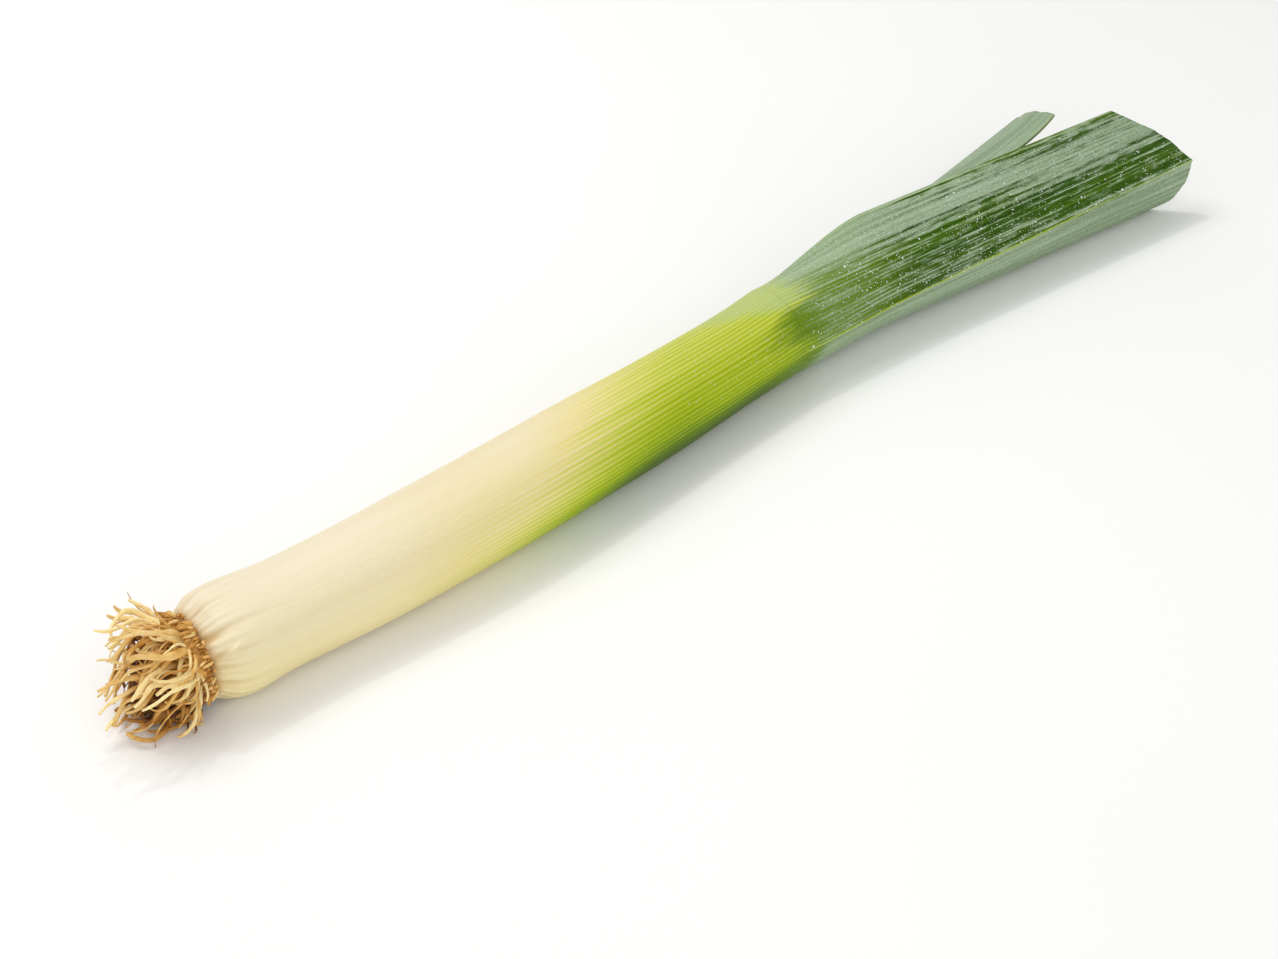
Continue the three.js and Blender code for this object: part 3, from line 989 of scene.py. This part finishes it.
class Graph:
    """A new material, with short forms for adding and linking its shader nodes."""

    def __init__(self, name):
        self.material = bpy.data.materials.new(name)
        self.material.use_nodes = True
        self.nodes = self.material.node_tree.nodes
        self.links = self.material.node_tree.links

    def finished(self, settings):
        """The material, with the shader's own sockets set or linked by name."""
        for name, value in settings.items():
            self.put(self.nodes["Principled BSDF"].inputs[name], value)
        return self.material

    def put(self, socket, value):
        if isinstance(value, bpy.types.NodeSocket):
            self.links.new(value, socket)
        else:
            socket.default_value = value

    def attribute(self, name, output="Fac"):
        node = self.nodes.new("ShaderNodeAttribute")
        node.attribute_name = name
        return node.outputs[output]

    def math(self, operation, a, b=0.0, clamp=False):
        node = self.nodes.new("ShaderNodeMath")
        node.operation = operation
        node.use_clamp = clamp
        self.put(node.inputs[0], a)
        self.put(node.inputs[1], b)
        return node.outputs[0]

    def plus(self, a, b, clamp=False):
        return self.math("ADD", a, b, clamp)

    def times(self, a, b, clamp=False):
        return self.math("MULTIPLY", a, b, clamp)

    def wave(self, period, wobble):
        """0 to 1 and back across the leaf, once for each period in millimetres, a little unevenly."""
        parts = self.nodes.new("ShaderNodeSeparateXYZ")
        self.links.new(self.attribute("flow", "Vector"), parts.inputs[0])
        shift = self.times(self.math("SUBTRACT", wobble, 0.5), 5.0)
        phase = self.plus(self.times(parts.outputs[1], 2 * math.pi / period), shift)
        return self.plus(self.times(self.math("SINE", phase), 0.5), 0.5)

    def around_half(self, value, weight):
        """A noise value taken off its middle and weighted."""
        return self.times(self.math("SUBTRACT", value, 0.5), weight)

    def between(self, share, a, b):
        """The number that lies a share of the way from a to b."""
        return self.plus(a, self.times(self.math("SUBTRACT", b, a), share))

    def total(self, *values):
        result = values[0]
        for value in values[1:]:
            result = self.plus(result, value)
        return result

    def scaled_flow(self, along, across, seed):
        """The place in the flow of the leaf in units of along and across, moved by the seed."""
        node = self.nodes.new("ShaderNodeVectorMath")
        node.operation = "MULTIPLY_ADD"
        self.put(node.inputs[0], self.attribute("flow", "Vector"))
        node.inputs[1].default_value = (1 / along, 1 / across, 0)
        node.inputs[2].default_value = (seed, seed * 2.3, seed * 1.7)
        return node.outputs[0]

    def stretched_noise(self, along, across, seed, detail):
        """Noise whose spots are along by across millimetres in the flow of the leaf."""
        noise = self.nodes.new("ShaderNodeTexNoise")
        noise.inputs["Scale"].default_value = 1.0
        noise.inputs["Detail"].default_value = detail
        self.links.new(self.scaled_flow(along, across, seed), noise.inputs["Vector"])
        return noise.outputs["Fac"]

    def specks(self, spacing, seed):
        """1 in small round spots strewn over the leaf, about one for each spacing in millimetres."""
        cells = self.nodes.new("ShaderNodeTexVoronoi")
        cells.inputs["Scale"].default_value = 1.0
        self.links.new(self.scaled_flow(spacing, spacing, seed), cells.inputs["Vector"])
        return self.fit(cells.outputs["Distance"], 0.1, 0.2, 1.0, 0.0)

    def even_noise(self, size, detail):
        """Noise with spots of a size in metres, the same in every direction."""
        place_node = self.nodes.new("ShaderNodeTexCoord")
        noise = self.nodes.new("ShaderNodeTexNoise")
        noise.inputs["Scale"].default_value = 1 / size
        noise.inputs["Detail"].default_value = detail
        self.links.new(place_node.outputs["Object"], noise.inputs["Vector"])
        return noise.outputs["Fac"]

    def fit(self, value, low, high, to_low=0.0, to_high=1.0):
        """A value between low and high taken smoothly to one between to_low and to_high."""
        node = self.nodes.new("ShaderNodeMapRange")
        node.interpolation_type = "SMOOTHSTEP"
        self.put(node.inputs["Value"], value)
        node.inputs["From Min"].default_value = low
        node.inputs["From Max"].default_value = high
        node.inputs["To Min"].default_value = to_low
        node.inputs["To Max"].default_value = to_high
        return node.outputs["Result"]

    def ramp(self, value, stops):
        node = self.nodes.new("ShaderNodeValToRGB")
        elements = node.color_ramp.elements
        while len(elements) < len(stops):
            elements.new(0.5)
        for element, (position, colour) in zip(elements, stops):
            element.position = position
            element.color = colour
        self.put(node.inputs["Fac"], value)
        return node.outputs["Color"]

    def mixed(self, share, a, b):
        """Colour a, with a share of colour b in it."""
        node = self.nodes.new("ShaderNodeMix")
        node.data_type = "RGBA"
        self.put(node.inputs["Factor"], share)
        self.put(node.inputs[6], a)
        self.put(node.inputs[7], b)
        return node.outputs[2]

    def bump(self, height, distance, strength, normal=None):
        node = self.nodes.new("ShaderNodeBump")
        node.inputs["Strength"].default_value = strength
        node.inputs["Distance"].default_value = distance
        self.put(node.inputs["Height"], height)
        if normal is not None:
            self.links.new(normal, node.inputs["Normal"])
        return node.outputs["Normal"]


def leaf_material(name):
    """Leek skin from cream through striped yellow-green to dark green under a streaky waxy bloom."""
    graph = Graph(name)
    green = graph.attribute("green")
    bloom = graph.attribute("bloom")
    fine = graph.stretched_noise(70, 0.34, 12.9, 2.0)
    medium = graph.stretched_noise(110, 1.3, 3.1, 2.0)
    broad = graph.stretched_noise(36, 4.2, 21.3, 3.0)
    patches = graph.stretched_noise(8, 1.8, 55.0, 3.0)
    mottle = graph.even_noise(0.006, 3.0)
    grain = graph.even_noise(0.0009, 2.0)

    # The sheath: cream to green, with fine ribs that show most where it is half green.
    ribs = graph.wave(RIB_PERIOD, graph.stretched_noise(110, 5.0, 7.7, 2.0))
    rib_depth = graph.ramp(green, ((0.1, GREY[0]), (0.24, GREY[18]), (0.45, GREY[24]), (0.9, GREY[12])))
    striped = graph.total(graph.around_half(ribs, 0.75), graph.around_half(medium, 1.3))
    shade = graph.plus(green, graph.times(striped, rib_depth), clamp=True)
    sheath = graph.ramp(shade, SHEATH_COLOURS)
    cream_only = graph.fit(green, 0.05, 0.3, 0.25, 0.0)
    warm = graph.fit(graph.stretched_noise(70, 5.5, 44.0, 2.0), 0.4, 0.7)
    sheath = graph.mixed(graph.times(warm, cream_only), sheath, WARM_CREAM)
    spotty = graph.fit(mottle, 0.35, 0.65, 0.5, 1.0)
    dirt = graph.times(graph.attribute("base"), spotty, clamp=True)
    sheath = graph.mixed(dirt, sheath, DIRT)

    # The blade: its darker green starts in ragged streaks.
    leaf = graph.total(
        graph.attribute("leaf"),
        graph.around_half(fine, 0.5),
        graph.around_half(patches, 0.4),
        graph.around_half(ribs, 0.1),
    )
    leaf = graph.times(graph.fit(leaf, 0.2, 0.7), graph.fit(graph.attribute("leaf"), 0.0, 0.1))
    leaf_shade = graph.total(
        graph.around_half(medium, 1.1),
        graph.around_half(fine, 0.8),
        graph.around_half(patches, 0.4),
        0.47,
    )
    leaf_colour = graph.ramp(leaf_shade, LEAF_COLOURS)
    age = graph.attribute("age")
    young_share = graph.fit(age, 0.3, 1.0, 1.0, 0.0)
    youth = graph.fit(age, 0.0, 1.0, 0.7, 0.0)
    young = graph.plus(youth, graph.around_half(ribs, 0.25), clamp=True)
    young = graph.times(young, young_share)
    leaf_colour = graph.mixed(young, leaf_colour, YOUNG_LEAF)
    colour = graph.mixed(leaf, sheath, leaf_colour)

    # The wax is rubbed off in lengthwise streaks and blotches.
    rubbed = graph.total(
        graph.around_half(fine, 1.0),
        graph.around_half(medium, 0.8),
        graph.around_half(broad, 0.6),
        graph.around_half(patches, 1.0),
    )
    rubbed = graph.times(rubbed, graph.fit(age, 0.0, 0.8, 0.6, 1.0))
    ribbed = graph.times(graph.around_half(ribs, -0.3), young_share)
    kept = graph.total(bloom, rubbed, ribbed)
    grown = graph.fit(age, 0.0, 0.5)
    kept = graph.between(grown, graph.fit(kept, 0.15, 0.85), graph.fit(kept, 0.36, 0.64))
    kept = graph.times(kept, graph.fit(bloom, 0.0, 0.2))
    kept = graph.times(kept, graph.fit(grain, 0.3, 0.7, 0.72, 1.0))
    wax = graph.mixed(graph.fit(graph.total(fine, medium), 0.8, 1.2), THIN_WAX, THICK_WAX)
    wax = graph.mixed(graph.fit(leaf, 0.0, 1.0, 0.75, 0.0), wax, SHEATH_WAX)
    cover = graph.times(kept, graph.fit(leaf, 0.0, 1.0, 0.76, 0.86))
    colour = graph.mixed(cover, colour, wax)

    # Painted highlights: pale specks that stand for the glints of dewdrops too fine to make as drops,
    # densest on the wax.
    strewn = graph.fit(graph.even_noise(0.014, 2.0), 0.42, 0.6)
    painted_dew_glints = graph.times(graph.specks(1.25, 8.4), graph.fit(leaf, 0.0, 1.0, 0.2, 0.5))
    waxed_painted_dew_glints = graph.times(graph.specks(0.85, 31.7), graph.times(kept, leaf))
    painted_dew_glints = graph.times(graph.math("MAXIMUM", painted_dew_glints, waxed_painted_dew_glints), strewn)
    painted_dew_glints = graph.times(painted_dew_glints, graph.fit(green, 0.15, 0.4))
    colour = graph.mixed(painted_dew_glints, colour, PAINTED_DEW_GLINTS)

    for where, strength, tint in OVERLAYS:
        share = graph.times(graph.attribute(where), strength)
        colour = graph.mixed(share, colour, tint)
    gloss = graph.plus(graph.times(kept, 0.16), graph.fit(green, 0.3, 0.9, 0.42, 0.36))
    veins = graph.bump(medium, 0.0004, 0.55)
    veins = graph.bump(fine, 0.00018, 0.6, veins)
    return graph.finished({
        "Base Color": colour,
        "Roughness": gloss,
        "Specular IOR Level": 0.12,
        "Subsurface Weight": 0.12,
        "Subsurface Radius": (0.6, 0.7, 0.25),
        "Subsurface Scale": 0.003,
        "Normal": graph.bump(mottle, 0.0005, 0.25, veins),
    })


def root_material():
    """Dry straw-coloured roots, each of its own tone, with painted shade that makes them darker and browner
    deep inside the tuft and low down, and a little painted light on its outer parts.
    """
    graph = Graph("root_fibre")
    mottle = graph.around_half(graph.even_noise(0.0035, 3.0), 0.7)
    # Painted shade deep inside the tuft and low down, and a little painted light on its outer parts.
    paler = graph.fit(graph.attribute("painted_light_share"), 0.0, 1.0, -0.8, 0.16)
    tone = graph.plus(graph.plus(graph.attribute("tone"), mottle), paler, clamp=True)
    return graph.finished({
        "Base Color": graph.ramp(tone, ROOT_COLOURS),
        "Roughness": 0.6,
        "Subsurface Weight": 0.1,
        "Subsurface Radius": (1.0, 0.6, 0.25),
        "Subsurface Scale": 0.001,
        "Normal": graph.bump(graph.even_noise(0.0012, 2.0), 0.0004, 0.7),
    })


def water_material():
    """Water drops painted mostly white, as painted highlights that show them as small bright beads, and
    only a little see-through.
    """
    return Graph("water").finished({
        # Painted highlight: the white base colour stands for the glints on the drops.
        "Base Color": (1.0, 1.0, 0.98, 1),
        "Roughness": 0.12,
        "IOR": 1.33,
        "Specular IOR Level": 0.6,
        "Transmission Weight": 0.2,
    })


# The studio


def studio():
    """A pale floor, an even white sky and soft lights."""
    floor_mesh = bpy.data.meshes.new("floor")
    half = FLOOR_HALF
    corners = [(-half, -half, 0), (half, -half, 0), (half, half, 0), (-half, half, 0)]
    floor_mesh.from_pydata(corners, [], [(0, 1, 2, 3)])
    floor = bpy.data.objects.new("floor", floor_mesh)
    floor.location.z = -FLOOR_DROP
    graph = Graph("pale_floor")
    shade = graph.ramp(graph.even_noise(0.4, 2.0), PALE_FLOOR)
    floor_mesh.materials.append(graph.finished({"Base Color": shade, "Roughness": 0.9}))
    bpy.context.scene.collection.objects.link(floor)

    world = bpy.data.worlds.new("studio")
    world.use_nodes = True
    background = world.node_tree.nodes["Background"]
    background.inputs["Color"].default_value = (1.0, 1.0, 1.0, 1)
    background.inputs["Strength"].default_value = SKY_STRENGTH
    bpy.context.scene.world = world
    bpy.context.scene.view_settings.view_transform = "Standard"
    for name, (place_at, size, watts, colour) in LIGHTS.items():
        add_light(name, place_at, size, watts, colour)


def add_light(name, place_at, size, watts, colour):
    """A square light that faces the frame's origin."""
    light = bpy.data.lights.new(name, "AREA")
    light.size = size
    light.energy = watts
    light.color = colour
    lamp = bpy.data.objects.new(name, light)
    lamp.location = place_at
    lamp.rotation_mode = "QUATERNION"
    lamp.rotation_quaternion = (-Vector(place_at)).to_track_quat("-Z", "Y")
    bpy.context.scene.collection.objects.link(lamp)


def camera():
    """The camera of the photograph, fitted to the leek's outline."""
    forward = Vector((
        math.sin(VIEW_TURN) * math.cos(VIEW_RISE),
        math.cos(VIEW_TURN) * math.cos(VIEW_RISE),
        -math.sin(VIEW_RISE),
    ))
    data = bpy.data.cameras.new("camera")
    data.sensor_width = SENSOR_WIDTH
    data.lens = FOCAL_PIXELS / PHOTO_WIDTH * SENSOR_WIDTH
    data.clip_start = 0.01
    eye = bpy.data.objects.new("camera", data)
    eye.location = place(VIEW_TARGET - forward * VIEW_DISTANCE)
    eye.rotation_mode = "QUATERNION"
    eye.rotation_quaternion = forward.to_track_quat("-Z", "Y")
    bpy.context.scene.collection.objects.link(eye)
    bpy.context.scene.camera = eye


camera()
studio()
shaft()
leaf_skin = leaf_material("leaf_skin")
for spec in BLADES:
    blade(spec, leaf_skin)
roots()
drops()
